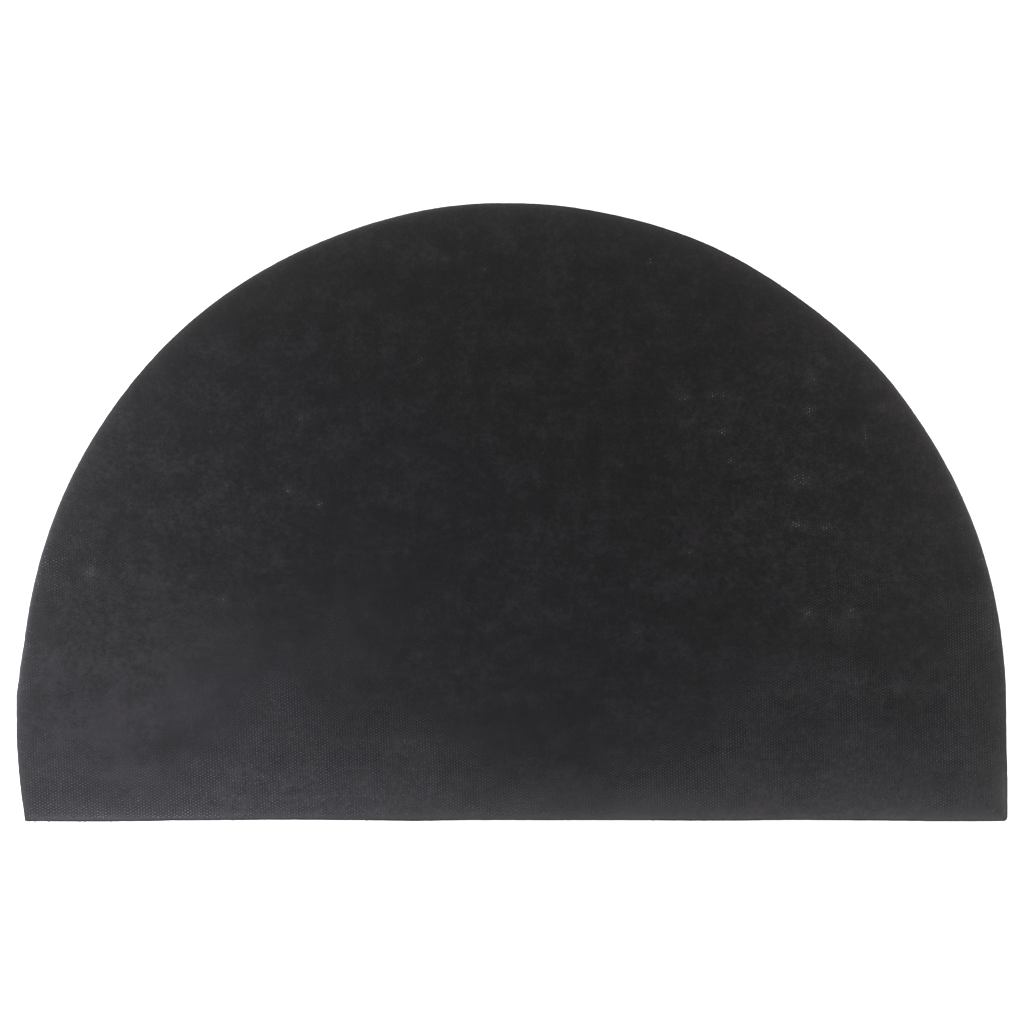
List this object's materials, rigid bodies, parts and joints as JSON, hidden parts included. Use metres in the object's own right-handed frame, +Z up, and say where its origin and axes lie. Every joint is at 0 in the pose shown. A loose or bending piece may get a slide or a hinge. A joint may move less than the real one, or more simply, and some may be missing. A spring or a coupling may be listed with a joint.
{
  "type": "half round coir doormat",
  "caption": "Half round doormat of cut coir pile on a black vinyl backing with a fine pin dot relief, lying face down.",
  "frame": {"origin": "on the floor under the middle of the mat's bounding box, at the tips of the pile", "axes": "+X along the straight edge, to the right seen from above; +Y from the straight edge towards the arch; +Z up, out of the vinyl backing"},
  "size_m": [0.8, 0.4994, 0.017],
  "materials": {
    "backing": "matt black vinyl with a soft sheen, fine raised pin dots, faint cloudy marks and pale dusty specks",
    "coir_pile": "natural cut coir, tan to brown, coarse upright fibres, unprinted"
  },
  "bodies": {
    "root": {"backing": "backing", "coir_pile": "coir_pile"}
  },
  "joints": []
}
